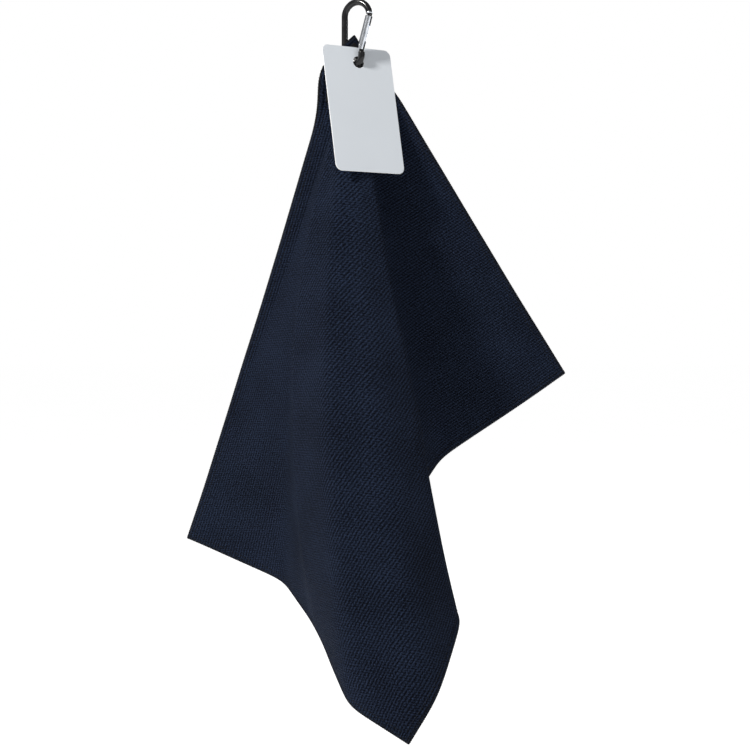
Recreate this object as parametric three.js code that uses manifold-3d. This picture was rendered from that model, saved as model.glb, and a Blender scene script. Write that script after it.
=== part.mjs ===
// Golf towel hung by one corner from a small key carabiner, with a card hang tag in front.
// Millimetres, +Z up. The origin is the bearing point inside the carabiner's top bend.
// +X is to the viewer's right, -Y is towards the viewer.
import * as THREE from 'three';
import { mergeVertices } from 'three/addons/utils/BufferGeometryUtils.js';
import Module from 'manifold-3d';

const wasm = await Module();
wasm.setup();

const RAD = Math.PI / 180;
const GAP = 0.3; // clearance between pieces that touch

// ---- carabiner, drawn in its own XZ plane and then turned about Z ----
const RING_YAW = -27; // the gate side comes towards the viewer
const ROD_D = 4.8;
const RING_WIDTH = 25; // over the rod, at the wide top bend
const RING_HEIGHT = 50; // over the rod
const LOW_BEND_R = 6.8; // centre line of the narrow bottom bend
const LEG_LENGTH = 2.6; // straight leg between the bottom bend and the hinge tang
const NOSE_CUT = 3.4; // degrees of the top bend left off, so that the gate swings clear
const TANG_THICK = 1.6;
const TANG_WIDTH = 3.2;
const HOOK_HEIGHT = 1.3; // metal under the notch in the nose
const NOTCH_HEIGHT = 2.1;
const HINGE_RISE = 4; // rivet above the end of the round leg
const CAM_R = [1.6, 2.0]; // hinge tang's end: radius along the closed gate, and at full opening
const CAM_TURN = 25;
const GATE_D = 5.2;
const GATE_BORE = 3.2;
const GATE_SLOT = 2.3;
const GATE_BELOW = 2.6; // gate below the rivet
const BORE_PAST_SLOT = 0.9; // solid left between the bore and the top slot
const NOTCH_CLEAR = 0.35; // the nose pin's room in its notch
const TANG_INNER = 0.4; // share of the nose tang's width inside the gate's line
const GATE_TOP_CLEAR = 0.4; // gate's top to the round rod's end
const LOW_SLOT = 3.6; // bottom slot above the rivet
const TOP_SLOT = 7.2;
const RIVET_D = 1.2;
const RIVET_HEAD_D = 2.2;
const RIVET_HEAD = 0.5;
const RIVET_SHAKE = 0.2; // gap under each rivet head
const RIVET_HOLE_CLEAR = 0.4;
const PIN_D = 1.2;
const PIN_FROM_TOP = 3.6;
const PLUNGER_D = 2.4;
const PLUNGER_TIP_D = 0.9;
const PLUNGER_LENGTH = 6.5;
const PLUNGER_TRAVEL = 0.6;
const SPRING_D = 2.7;
const SPRING_WIRE = 0.5;
const SPRING_TURNS = 5;

// ---- towel ----
const TOWEL_LONG = 406; // cut length, from the hanging corner to the left corner
const TOWEL_SHORT = 305; // cut width, from the hanging corner to the right corner
const CLOTH_THICK = 1.2;
const HEM_WIDTH = 4;
const HEM_THICK = 1.6;
const EYE_FROM_TIP = 24; // eyelet's centre to the hanging corner
const EYE_FROM_BEND = new THREE.Vector3(-0.56, 0.252, -8.05); // eyelet's middle from the low bend's
const CORNER_YAW = 36; // the hanging corner's right side turns away from the viewer
const CORNER_PITCH = 1;
const CORNER_ROLL = -5;
const FLAT_R = 12; // the cloth stays flat this far from the eyelet's centre
const FOLDED_R = 46; // and is fully folded from here on
const FOLDED_LEFT_R = 26; // sooner on the left, where the edge drops straight down
const FOLD_SOFTNESS = 1.4; // degrees, how round the folds are
// Directions from the eyelet down the folds: [right of straight down, away from the viewer].
const FOLDS = [
  [-20.6, 13.4], // left edge
  [-8.0, 10.0], // left flap, turned back
  [-4.4, 2.4],
  [0.0, -11.0], // soft ridge
  [6.6, -11.4], // front panel, over the bottom corner
  [11.4, -5.3], // front fold
  [0, -1.1], // hidden fold, its first angle comes from the cloth that is left
  [13.0, 12.5], // right panel, behind
  [36.0, 15.7], // right edge
];
const HIDDEN_FOLD = 6;
// How far the middle of each line of cloth bows: [angle in the cloth, to the right, away].
const BOWS = [
  [-60, 0, 0],
  [-2, 1.7, 4.0],
  [12, -16, -16],
  [22, -31, -16.5],
  [36, -15, -3],
  [45, -2.5, -8],
  [60, -6.5, -8],
  [92, -1.5, -6],
];
const FOLD_SHIFT = new THREE.Vector3(1.5, -2, 0); // the folds' common point, from the eyelet's centre
const PATCH_LEG = 44; // the corner patch along each side
const PATCH_THICK = 0.5;
const PATCH_GAP = 0.2;

// ---- eyelet ----
const EYE_TO_ROD = 2.5; // loose on the rod, which crosses it at a slant
const EYE_BORE = ROD_D * EYE_TO_ROD;
const EYE_WALL = 0.6;
const EYE_ROLL = 0.2; // barrel standing out behind the washer
const FLANGE_WIDTH = 2.3;
const FLANGE_D = EYE_BORE + 2 * FLANGE_WIDTH;
const FLANGE_THICK = 0.6;
const EYE_GAP = 0.25; // flange to patch

// ---- tag ----
const TAG_WIDTH = 57;
const TAG_HEIGHT = 95;
const TAG_THICK = 0.6;
const TAG_CORNER = 5;
const TAG_HOLE_TO_ROD = 1.875; // the rod crosses this one at a slant too
const TAG_HOLE_D = ROD_D * TAG_HOLE_TO_ROD;
const TAG_HOLE_DOWN = 11.4; // hole's centre below the top edge
const TAG_HOLE_RIGHT = 0.5; // and right of the middle
const TAG_FROM_BEND = new THREE.Vector3(3.74, -2.298, -5.4); // hole's centre from the low bend's
const TAG_YAW = 31; // right side away from the viewer
const TAG_PITCH = 13; // bottom edge towards the viewer

const group = new THREE.Group();

const MATERIALS = {
  blackMetal: new THREE.MeshStandardMaterial({ color: 0x1b1c20, roughness: 0.28, metalness: 0.9 }),
  brightMetal: new THREE.MeshStandardMaterial({ color: 0xc9ccd2, roughness: 0.22, metalness: 1 }),
  steel: new THREE.MeshStandardMaterial({ color: 0x8e9298, roughness: 0.35, metalness: 1 }),
  microfibre: new THREE.MeshStandardMaterial({ color: 0x1b2438, roughness: 0.95, metalness: 0 }),
  hemThread: new THREE.MeshStandardMaterial({ color: 0x1c1e24, roughness: 0.85, metalness: 0 }),
  patchFabric: new THREE.MeshStandardMaterial({ color: 0x141518, roughness: 0.9, metalness: 0 }),
  card: new THREE.MeshStandardMaterial({ color: 0xd2d6dc, roughness: 0.7, metalness: 0 }),
};

// Turns a closed surface outwards if it was drawn inside out.
function outward(geometry) {
  const bare = geometry.clone();
  bare.deleteAttribute('normal');
  bare.deleteAttribute('uv');
  const merged = mergeVertices(bare, 1e-4);
  const place = merged.attributes.position;
  const corner = (i) => new THREE.Vector3().fromBufferAttribute(place, i);
  const kept = [];
  let volume = 0;
  for (let i = 0; i < merged.index.count; i += 3) {
    const [a, b, c] = [0, 1, 2].map((k) => merged.index.getX(i + k));
    if (a !== b && b !== c && a !== c) {
      kept.push(a, b, c);
      volume += corner(a).dot(corner(b).cross(corner(c)));
    }
  }
  merged.setIndex(volume < 0 ? kept.reverse() : kept);
  return merged;
}

function addPart(name, geometry, material, parent = group) {
  const mesh = new THREE.Mesh(outward(geometry), material);
  mesh.name = name;
  parent.add(mesh);
  return mesh;
}

// ---- booleans ----
function solidOf(geometry) {
  const merged = outward(geometry);
  return new wasm.Manifold(new wasm.Mesh({
    numProp: 3,
    vertProperties: new Float32Array(merged.attributes.position.array),
    triVerts: new Uint32Array(merged.index.array),
  }));
}

function geometryOf(solid) {
  const mesh = solid.getMesh();
  const geometry = new THREE.BufferGeometry();
  geometry.setAttribute('position', new THREE.BufferAttribute(mesh.vertProperties, 3));
  geometry.setIndex(new THREE.BufferAttribute(mesh.triVerts, 1));
  return geometry;
}

function cut(base, ...tools) {
  return geometryOf(tools.reduce((solid, tool) => solid.subtract(solidOf(tool)), solidOf(base)));
}

function join(base, ...others) {
  return geometryOf(others.reduce((solid, other) => solid.add(solidOf(other)), solidOf(base)));
}

// ---- simple shapes ----
function box(x0, x1, y0, y1, z0, z1) {
  const geometry = new THREE.BoxGeometry(x1 - x0, y1 - y0, z1 - z0);
  return geometry.translate((x0 + x1) / 2, (y0 + y1) / 2, (z0 + z1) / 2);
}

function rodAlongY(diameter, length, x = 0, z = 0, sides = 16) {
  return new THREE.CylinderGeometry(diameter / 2, diameter / 2, length, sides).translate(x, 0, z);
}

function rodAlongZ(diameter, z0, z1, sides = 24) {
  const geometry = new THREE.CylinderGeometry(diameter / 2, diameter / 2, z1 - z0, sides);
  return geometry.rotateX(Math.PI / 2).translate(0, 0, (z0 + z1) / 2);
}

function roundSection(diameter, sides) {
  const points = Array.from({ length: sides }, (_, i) => {
    const turn = (i / sides) * 2 * Math.PI;
    return new THREE.Vector2(Math.cos(turn), Math.sin(turn)).multiplyScalar(diameter / 2);
  });
  return new THREE.Shape(points);
}

// A flat plate drawn in XZ and centred on the XZ plane.
function plateXZ(points, thick) {
  const shape = new THREE.Shape(points.map(([x, z]) => new THREE.Vector2(x, z)));
  const geometry = new THREE.ExtrudeGeometry(shape, { depth: thick, bevelEnabled: false });
  return geometry.rotateX(Math.PI / 2).translate(0, thick / 2, 0);
}

// ---- carabiner ----
const topBendR = (RING_WIDTH - ROD_D) / 2;
const topBendZ = ROD_D / 2 - topBendR;
const lowBendX = LOW_BEND_R - topBendR;
const lowBendZ = ROD_D - RING_HEIGHT + ROD_D / 2 + LOW_BEND_R;
const lowBend = new THREE.Vector3(lowBendX, 0, lowBendZ)
  .applyAxisAngle(new THREE.Vector3(0, 0, 1), (RING_YAW * Math.PI) / 180);
const eyeMiddle = lowBend.clone().add(EYE_FROM_BEND);
const legX = lowBendX + LOW_BEND_R;
const legTopZ = lowBendZ + LEG_LENGTH;
const hinge = new THREE.Vector2(legX, legTopZ + HINGE_RISE);

function onTopBend(degrees, radius = topBendR) {
  return new THREE.Vector2(radius * Math.cos(degrees * RAD), topBendZ + radius * Math.sin(degrees * RAD));
}

const noseEnd = onTopBend(NOSE_CUT);
const gateAxis = noseEnd.clone().sub(hinge).normalize();
const gateSide = new THREE.Vector2(gateAxis.y, -gateAxis.x); // towards the outside of the ring
const sweptR = onTopBend(NOSE_CUT, topBendR - ROD_D / 2).distanceTo(hinge) - GATE_TOP_CLEAR;
const gateLength = Math.sqrt(sweptR ** 2 - (GATE_D / 2) ** 2); // above the rivet
const pinAt = gateLength - PIN_FROM_TOP;
const boreEnd = gateLength - TOP_SLOT - BORE_PAST_SLOT;

// A point given by its distance up the closed gate from the rivet and its distance outwards.
function gatePoint(up, out) {
  const point = hinge.clone().addScaledVector(gateAxis, up).addScaledVector(gateSide, out);
  return [point.x, point.y];
}

// The bent rod's centre line, from the nose over the top, down the spine and round to the leg.
function rodPath() {
  const points = [];
  const add = (x, z) => points.push(new THREE.Vector3(x, 0, z));
  const bend = (x, z, radius, from, to, steps) => {
    for (let i = 0; i <= steps; i += 1) {
      const turn = (from + ((to - from) * i) / steps) * RAD;
      add(x + radius * Math.cos(turn), z + radius * Math.sin(turn));
    }
  };
  bend(0, topBendZ, topBendR, NOSE_CUT, 180, 22);
  const spineSteps = 3;
  for (let i = 1; i < spineSteps; i += 1) {
    add(-topBendR, topBendZ + ((lowBendZ - topBendZ) * i) / spineSteps);
  }
  bend(lowBendX, lowBendZ, LOW_BEND_R, 180, 360, 18);
  add(legX, legTopZ);
  return points;
}

// A rod of round section through the points of a path that lies in the XZ plane.
function flatSweep(points, diameter, sides) {
  const positions = [];
  const index = [];
  points.forEach((point, i) => {
    const before = points[Math.max(i - 1, 0)];
    const after = points[Math.min(i + 1, points.length - 1)];
    const along = after.clone().sub(before).normalize();
    const across = new THREE.Vector3(along.z, 0, -along.x);
    for (let k = 0; k < sides; k += 1) {
      const turn = (k / sides) * 2 * Math.PI;
      const spot = point.clone().addScaledVector(across, (Math.cos(turn) * diameter) / 2);
      positions.push(spot.x, spot.y + (Math.sin(turn) * diameter) / 2, spot.z);
    }
  });
  for (let i = 0; i < points.length - 1; i += 1) {
    for (let k = 0; k < sides; k += 1) {
      const a = i * sides + k;
      const b = i * sides + ((k + 1) % sides);
      index.push(a, a + sides, b, b, a + sides, b + sides);
    }
  }
  const last = (points.length - 1) * sides;
  for (let k = 1; k < sides - 1; k += 1) {
    index.push(0, k, k + 1, last, last + k + 1, last + k);
  }
  const geometry = new THREE.BufferGeometry();
  geometry.setAttribute('position', new THREE.Float32BufferAttribute(positions, 3));
  geometry.setIndex(index);
  return geometry;
}

// Flat nose with a notch that is open to the inside, for the gate's pin.
function noseTang() {
  const inner = -TANG_WIDTH * TANG_INNER;
  const outer = TANG_WIDTH * (1 - TANG_INNER);
  const notchTop = pinAt + PIN_D / 2 + NOTCH_CLEAR;
  const notchLow = notchTop - NOTCH_HEIGHT;
  const wall = PIN_D / 2 + GAP;
  return plateXZ([
    gatePoint(gateLength + 2, inner),
    gatePoint(notchTop, inner),
    gatePoint(notchTop, wall),
    gatePoint(notchLow, wall),
    gatePoint(notchLow, inner),
    gatePoint(notchLow - HOOK_HEIGHT, inner),
    gatePoint(notchLow - HOOK_HEIGHT, outer),
    gatePoint(gateLength + 2, outer),
  ], TANG_THICK);
}

// Flat hinge end with a cam that pushes the plunger in as the gate opens.
function hingeTang() {
  const points = [[legX - TANG_WIDTH / 2, legTopZ - 1], [legX + TANG_WIDTH / 2, legTopZ - 1]];
  for (let degrees = 75; degrees >= -105; degrees -= 10) {
    const share = THREE.MathUtils.clamp(-degrees / CAM_TURN, 0, 1);
    const back = THREE.MathUtils.clamp((-degrees - 60) / 45, 0, 1);
    const radius = CAM_R[0] + (CAM_R[1] - CAM_R[0]) * (share - back);
    points.push(gatePoint(radius * Math.cos(degrees * RAD), radius * Math.sin(degrees * RAD)));
  }
  return cut(plateXZ(points, TANG_THICK), rodAlongY(RIVET_D + 2 * GAP, 6, hinge.x, hinge.y));
}

function carabinerFrame() {
  return join(flatSweep(rodPath(), ROD_D, 14), noseTang(), hingeTang());
}

// The gate is drawn along Z from the rivet and then leaned onto the nose.
function carabinerGate() {
  const half = GATE_D;
  const tube = rodAlongZ(GATE_D, -GATE_BELOW, gateLength);
  return cut(
    tube,
    rodAlongZ(GATE_BORE, -GATE_BELOW - 1, boreEnd, 16),
    box(-half, half, -GATE_SLOT / 2, GATE_SLOT / 2, -GATE_BELOW - 1, LOW_SLOT),
    box(-half, half, -GATE_SLOT / 2, GATE_SLOT / 2, gateLength - TOP_SLOT, gateLength + 1),
    rodAlongY(RIVET_D + RIVET_HOLE_CLEAR, 8, 0, 0),
    rodAlongY(PIN_D + 0.3, 8, 0, pinAt),
  );
}

function gateRivet() {
  const head = (side) => rodAlongY(RIVET_HEAD_D, RIVET_HEAD, 0, 0)
    .translate(0, side * (GATE_D / 2 + RIVET_SHAKE + RIVET_HEAD / 2), 0);
  return join(rodAlongY(RIVET_D, GATE_D + 2 * RIVET_SHAKE + 0.1, 0, 0, 12), head(1), head(-1));
}

function gatePlunger() {
  const start = CAM_R[0] + GAP;
  const profile = [
    [0, 0],
    [PLUNGER_TIP_D / 2, 0],
    [PLUNGER_D / 2, 1.1],
    [PLUNGER_D / 2, PLUNGER_LENGTH],
    [0, PLUNGER_LENGTH],
  ].map(([radius, height]) => new THREE.Vector2(radius, height));
  return new THREE.LatheGeometry(profile, 14).rotateX(Math.PI / 2).translate(0, 0, start);
}

function gateSpring() {
  const start = CAM_R[0] + GAP + PLUNGER_LENGTH + PLUNGER_TRAVEL + GAP;
  const length = boreEnd - GAP - SPRING_WIRE / 2 - start;
  const steps = SPRING_TURNS * 10;
  const radius = (SPRING_D - SPRING_WIRE) / 2;
  const points = Array.from({ length: steps + 1 }, (_, i) => {
    const turn = (i / 10) * 2 * Math.PI;
    return new THREE.Vector3(radius * Math.cos(turn), radius * Math.sin(turn), start + (length * i) / steps);
  });
  const path = new THREE.CatmullRomCurve3(points);
  return new THREE.ExtrudeGeometry(roundSection(SPRING_WIRE, 6), { steps, extrudePath: path });
}

function addCarabiner() {
  const ring = new THREE.Group();
  ring.rotation.z = RING_YAW * RAD;
  group.add(ring);
  addPart('carabiner_frame', carabinerFrame(), MATERIALS.blackMetal, ring);
  const gate = new THREE.Group();
  gate.position.set(hinge.x, 0, hinge.y);
  gate.rotation.y = Math.atan2(gateAxis.x, gateAxis.y);
  ring.add(gate);
  addPart('carabiner_gate', carabinerGate(), MATERIALS.brightMetal, gate);
  addPart('gate_pivot_rivet', gateRivet(), MATERIALS.steel, gate);
  addPart('gate_nose_pin', rodAlongY(PIN_D, GATE_D - 0.3, 0, pinAt, 12), MATERIALS.steel, gate);
  addPart('gate_plunger', gatePlunger(), MATERIALS.steel, gate);
  addPart('gate_spring', gateSpring(), MATERIALS.steel, gate);
}

// ---- the towel's surface ----
const eyeInset = EYE_FROM_TIP / Math.SQRT2; // eyelet's centre from both edges
const PATH_STEP = 0.25;
const PATH_ENDS = 60; // degrees that the path runs on past both edges

function direction(right, away) {
  return new THREE.Vector3(
    Math.sin(right * RAD) * Math.cos(away * RAD),
    Math.sin(away * RAD),
    -Math.cos(right * RAD) * Math.cos(away * RAD),
  );
}

function slerp(a, b, share, angle) {
  return a.clone().multiplyScalar(Math.sin((1 - share) * angle))
    .addScaledVector(b, Math.sin(share * angle)).normalize();
}

// Every direction from one edge of the cloth to the other, in small steps round the folds.
function foldPath(folds) {
  const corners = folds.map(([right, away]) => direction(right, away));
  const raw = [];
  for (let i = 0; i < corners.length - 1; i += 1) {
    const angle = corners[i].angleTo(corners[i + 1]);
    const count = Math.max(2, Math.round(angle / RAD / PATH_STEP));
    for (let k = 0; k < count; k += 1) {
      raw.push(slerp(corners[i], corners[i + 1], k / count, angle));
    }
  }
  raw.push(corners[corners.length - 1]);
  const runOn = (from, to) => {
    const tangent = from.clone().sub(to).projectOnPlane(from).normalize();
    return Array.from({ length: PATH_ENDS / PATH_STEP }, (_, i) => {
      const turn = (i + 1) * PATH_STEP * RAD;
      return from.clone().multiplyScalar(Math.cos(turn)).addScaledVector(tangent, Math.sin(turn));
    });
  };
  const before = runOn(raw[0], raw[1]).reverse();
  const after = runOn(raw[raw.length - 1], raw[raw.length - 2]);
  const all = [...before, ...raw, ...after];
  const reach = Math.round((4 * FOLD_SOFTNESS) / PATH_STEP);
  const smooth = all.map((_, i) => {
    const sum = new THREE.Vector3();
    for (let k = -reach; k <= reach; k += 1) {
      const near = all[THREE.MathUtils.clamp(i + k, 0, all.length - 1)];
      sum.addScaledVector(near, Math.exp(-((k * PATH_STEP) ** 2) / (2 * FOLD_SOFTNESS ** 2)));
    }
    return sum.normalize();
  });
  const angles = [0];
  for (let i = 1; i < smooth.length; i += 1) {
    angles.push(angles[i - 1] + smooth[i].angleTo(smooth[i - 1]) / RAD);
  }
  const start = angles[before.length];
  const end = angles[before.length + raw.length - 1] - start;
  return { smooth, angles: angles.map((angle) => angle - start), end };
}

const firstAngle = -Math.atan2(eyeInset, TOWEL_LONG - eyeInset) / RAD;
const lastAngle = 90 + Math.atan2(eyeInset, TOWEL_SHORT - eyeInset) / RAD;

// The hidden fold reaches as far as the cloth between the two edges allows.
function solvedPath() {
  let low = -30;
  let high = 8;
  let path;
  for (let i = 0; i < 30; i += 1) {
    const folds = FOLDS.map((fold) => [...fold]);
    folds[HIDDEN_FOLD][0] = (low + high) / 2;
    path = foldPath(folds);
    if (path.end > lastAngle - firstAngle) {
      low = folds[HIDDEN_FOLD][0];
    } else {
      high = folds[HIDDEN_FOLD][0];
    }
  }
  return path;
}

const path = solvedPath();

function foldedDirection(angle) {
  const want = angle - firstAngle;
  let low = 0;
  let high = path.angles.length - 1;
  while (high - low > 1) {
    const middle = Math.floor((low + high) / 2);
    if (path.angles[middle] > want) {
      high = middle;
    } else {
      low = middle;
    }
  }
  const share = (want - path.angles[low]) / (path.angles[high] - path.angles[low]);
  return path.smooth[low].clone().lerp(path.smooth[high], THREE.MathUtils.clamp(share, 0, 1)).normalize();
}

const cornerRight = new THREE.Vector3(Math.cos(CORNER_YAW * RAD), Math.sin(CORNER_YAW * RAD), 0);
const cornerFacing = new THREE.Vector3(Math.sin(CORNER_YAW * RAD), -Math.cos(CORNER_YAW * RAD), 0);
const cornerDown = new THREE.Vector3(0, 0, -Math.cos(CORNER_PITCH * RAD))
  .addScaledVector(cornerFacing, Math.sin(CORNER_PITCH * RAD));
const cornerNormal = new THREE.Vector3().crossVectors(cornerRight, cornerDown).negate();

function between(table, angle, column) {
  const next = table.findIndex(([at]) => at > angle);
  if (next < 1) {
    return table[next === 0 ? 0 : table.length - 1][column];
  }
  const [from, to] = [table[next - 1], table[next]];
  return THREE.MathUtils.mapLinear(angle, from[0], to[0], from[column], to[column]);
}

// Middle surface of the cloth. a runs from the hanging corner along the long side, b along the short side.
function middlePoint(a, b) {
  const x = a - eyeInset;
  const y = b - eyeInset;
  const angle = Math.atan2(y, x) / RAD;
  const reach = Math.hypot(x, y);
  const flatTurn = (angle - 45 + CORNER_ROLL) * RAD;
  const flat = cornerRight.clone().multiplyScalar(Math.sin(flatTurn))
    .addScaledVector(cornerDown, Math.cos(flatTurn));
  const behind = Math.abs(angle < -135 ? angle + 315 : angle - 45); // from the line to the far corner
  const toRight = THREE.MathUtils.smoothstep(angle, 0, 40);
  const foldedR = THREE.MathUtils.lerp(FOLDED_LEFT_R, FOLDED_R, toRight);
  const share = THREE.MathUtils.smoothstep(reach, FLAT_R, foldedR)
    * (1 - THREE.MathUtils.smoothstep(behind, 60, 110));
  const along = share > 0 ? flat.lerp(foldedDirection(angle), share).normalize() : flat;
  const toLong = (TOWEL_LONG - eyeInset) / Math.max(Math.cos(angle * RAD), 0.2);
  const toShort = (TOWEL_SHORT - eyeInset) / Math.max(Math.sin(angle * RAD), 0.2);
  const t = THREE.MathUtils.clamp(reach / Math.min(toLong, toShort), 0, 1);
  const bow = 4 * t * (1 - t) * share;
  const point = eyeMiddle.clone().addScaledVector(along, reach);
  point.addScaledVector(FOLD_SHIFT, share);
  point.x += bow * between(BOWS, angle, 1);
  point.y += bow * between(BOWS, angle, 2);
  return point;
}

// A point at a height above the middle surface, towards the viewer where the cloth faces the viewer.
function clothPoint(a, b, height) {
  const step = 0.5;
  const alongA = middlePoint(a + step, b).sub(middlePoint(a - step, b));
  const alongB = middlePoint(a, b + step).sub(middlePoint(a, b - step));
  const normal = alongA.cross(alongB).normalize();
  return middlePoint(a, b).addScaledVector(normal, height);
}

// Closed sheet over a grid of [a, b] places: rows of equal length, the first row may be one place.
function sheetSolid(rows, low, high) {
  const positions = [];
  const index = [];
  const starts = [low, high].map((height) => rows.map((row) => {
    const start = positions.length / 3;
    row.forEach(([a, b]) => positions.push(...clothPoint(a, b, height).toArray()));
    return start;
  }));
  const width = rows[rows.length - 1].length;
  const at = (side, row, k) => starts[side][row] + Math.min(k, rows[row].length - 1);
  const face = (p, q, r) => {
    if (p !== q && q !== r && p !== r) {
      index.push(p, q, r);
    }
  };
  const quad = (p, q, r, s) => {
    face(p, q, r);
    face(p, r, s);
  };
  for (let row = 0; row < rows.length - 1; row += 1) {
    for (let k = 0; k < width - 1; k += 1) {
      quad(at(1, row, k), at(1, row + 1, k), at(1, row + 1, k + 1), at(1, row, k + 1));
      quad(at(0, row, k), at(0, row, k + 1), at(0, row + 1, k + 1), at(0, row + 1, k));
    }
    quad(at(0, row, 0), at(0, row + 1, 0), at(1, row + 1, 0), at(1, row, 0));
    quad(at(0, row + 1, width - 1), at(0, row, width - 1), at(1, row, width - 1), at(1, row + 1, width - 1));
  }
  const last = rows.length - 1;
  for (let k = 0; k < width - 1; k += 1) {
    quad(at(0, last, k), at(0, last, k + 1), at(1, last, k + 1), at(1, last, k));
    quad(at(0, 0, k + 1), at(0, 0, k), at(1, 0, k), at(1, 0, k + 1));
  }
  const geometry = new THREE.BufferGeometry();
  geometry.setAttribute('position', new THREE.Float32BufferAttribute(positions, 3));
  geometry.setIndex(index);
  return geometry;
}

// ---- towel pieces ----
const inset = HEM_WIDTH + GAP; // cloth's edge from the towel's edge
const clothLong = TOWEL_LONG - 2 * inset;
const clothShort = TOWEL_SHORT - 2 * inset;
const FAN_STEP = 2; // degrees between the cloth's columns
const PATCH_ROWS = 9;
const FAR_ROWS = 14;
const farCorner = Math.atan2(clothShort, clothLong) / RAD;

function fanAngles() {
  const angles = [];
  for (let angle = 0; angle <= 90; angle += FAN_STEP) {
    angles.push(angle);
  }
  const nearest = Math.round(farCorner / FAN_STEP);
  angles[nearest] = farCorner;
  return angles;
}

const fan = fanAngles();

function fanPlace(angle, reach) {
  return [inset + reach * Math.cos(angle * RAD), inset + reach * Math.sin(angle * RAD)];
}

function fanRows() {
  const near = (angle, leg) => leg / (Math.cos(angle * RAD) + Math.sin(angle * RAD));
  const far = (angle) => Math.min(
    clothLong / Math.max(Math.cos(angle * RAD), 1e-9),
    clothShort / Math.max(Math.sin(angle * RAD), 1e-9),
  );
  const rows = [[[inset, inset]]];
  for (let i = 1; i <= PATCH_ROWS; i += 1) {
    rows.push(fan.map((angle) => fanPlace(angle, near(angle, (PATCH_LEG * i) / PATCH_ROWS))));
  }
  for (let i = 1; i <= FAR_ROWS; i += 1) {
    const share = (i / FAR_ROWS) ** 1.3;
    rows.push(fan.map((angle) => {
      const start = near(angle, PATCH_LEG);
      return fanPlace(angle, start + (far(angle) - start) * share);
    }));
  }
  return rows;
}

const rows = fanRows();

function eyeletHole() {
  const bore = rodAlongZ(EYE_BORE + 2 * (EYE_WALL + GAP), -8, 8, 20);
  return placedOnCorner(bore);
}

function placedOnCorner(geometry) {
  const turn = new THREE.Quaternion().setFromUnitVectors(new THREE.Vector3(0, 0, 1), cornerNormal);
  return geometry.applyQuaternion(turn).translate(...eyeMiddle.toArray());
}

function towelCloth() {
  return cut(sheetSolid(rows, -CLOTH_THICK / 2, CLOTH_THICK / 2), eyeletHole());
}

function cornerPatch(side) {
  const near = CLOTH_THICK / 2 + PATCH_GAP;
  const far = near + PATCH_THICK;
  const [low, high] = side > 0 ? [near, far] : [-far, -near];
  return cut(sheetSolid(rows.slice(0, PATCH_ROWS + 1), low, high), eyeletHole());
}

// A strip of hem along one side: stops are the distances along it, and place turns
// a distance along and across into a point of the towel.
function hemStrip(stops, length, place) {
  const mitre = GAP * 0.7;
  const strip = [[mitre, 0], ...stops.map((stop) => [stop, stop]), [length - mitre, length]];
  strip[0][1] = HEM_WIDTH + mitre;
  strip[strip.length - 1][1] = length - HEM_WIDTH - mitre;
  return strip.map(([outer, inner]) => [place(outer, 0), place(inner, HEM_WIDTH)]);
}

function addTowel() {
  const half = HEM_THICK / 2;
  const sideStops = (column, axis) => rows.slice(2, -1)
    .map((row) => row[column][axis]);
  const endRow = rows[rows.length - 1];
  const isLong = (place) => Math.abs(place[0] - (TOWEL_LONG - inset)) < 1e-6;
  const longEnd = endRow.filter((place, i) => i > 0 && isLong(place)).map((place) => place[1]).slice(0, -1);
  const shortEnd = endRow.filter((place) => !isLong(place)).map((place) => place[0]).slice(0, -1).reverse();
  const hems = {
    hem_top_left: hemStrip(sideStops(0, 0), TOWEL_LONG, (along, across) => [along, across]),
    hem_top_right: hemStrip(sideStops(fan.length - 1, 1), TOWEL_SHORT, (along, across) => [across, along]),
    hem_bottom_left: hemStrip(longEnd, TOWEL_SHORT, (along, across) => [TOWEL_LONG - across, along]),
    hem_bottom_right: hemStrip(shortEnd, TOWEL_LONG, (along, across) => [along, TOWEL_SHORT - across]),
  };
  addPart('towel_cloth', towelCloth(), MATERIALS.microfibre);
  Object.entries(hems).forEach(([name, strip]) => {
    addPart(name, sheetSolid(strip, -half, half), MATERIALS.hemThread);
  });
  addPart('corner_patch_front', cornerPatch(1), MATERIALS.patchFabric);
  addPart('corner_patch_back', cornerPatch(-1), MATERIALS.patchFabric);
}

// ---- eyelet ----
function latheZ(profile, sides = 28) {
  const points = profile.map(([radius, height]) => new THREE.Vector2(radius, height));
  return new THREE.LatheGeometry(points, sides).rotateX(Math.PI / 2);
}

function addEyelet() {
  const bore = EYE_BORE / 2;
  const outer = bore + EYE_WALL;
  const seat = CLOTH_THICK / 2 + PATCH_GAP + PATCH_THICK + EYE_GAP;
  const top = seat + FLANGE_THICK;
  const flange = FLANGE_D / 2;
  const barrel = latheZ([
    [bore, -top - EYE_ROLL],
    [outer, -top - EYE_ROLL],
    [outer, seat],
    [flange, seat],
    [flange - 0.3, top],
    [bore + 0.5, top],
    [bore, top - 0.4],
    [bore, -top - EYE_ROLL],
  ]);
  const washer = latheZ([
    [outer + GAP, -top],
    [flange - 0.3, -top],
    [flange, -seat],
    [outer + GAP, -seat],
    [outer + GAP, -top],
  ]);
  addPart('eyelet_barrel', placedOnCorner(barrel), MATERIALS.blackMetal);
  addPart('eyelet_washer', placedOnCorner(washer), MATERIALS.blackMetal);
}

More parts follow.
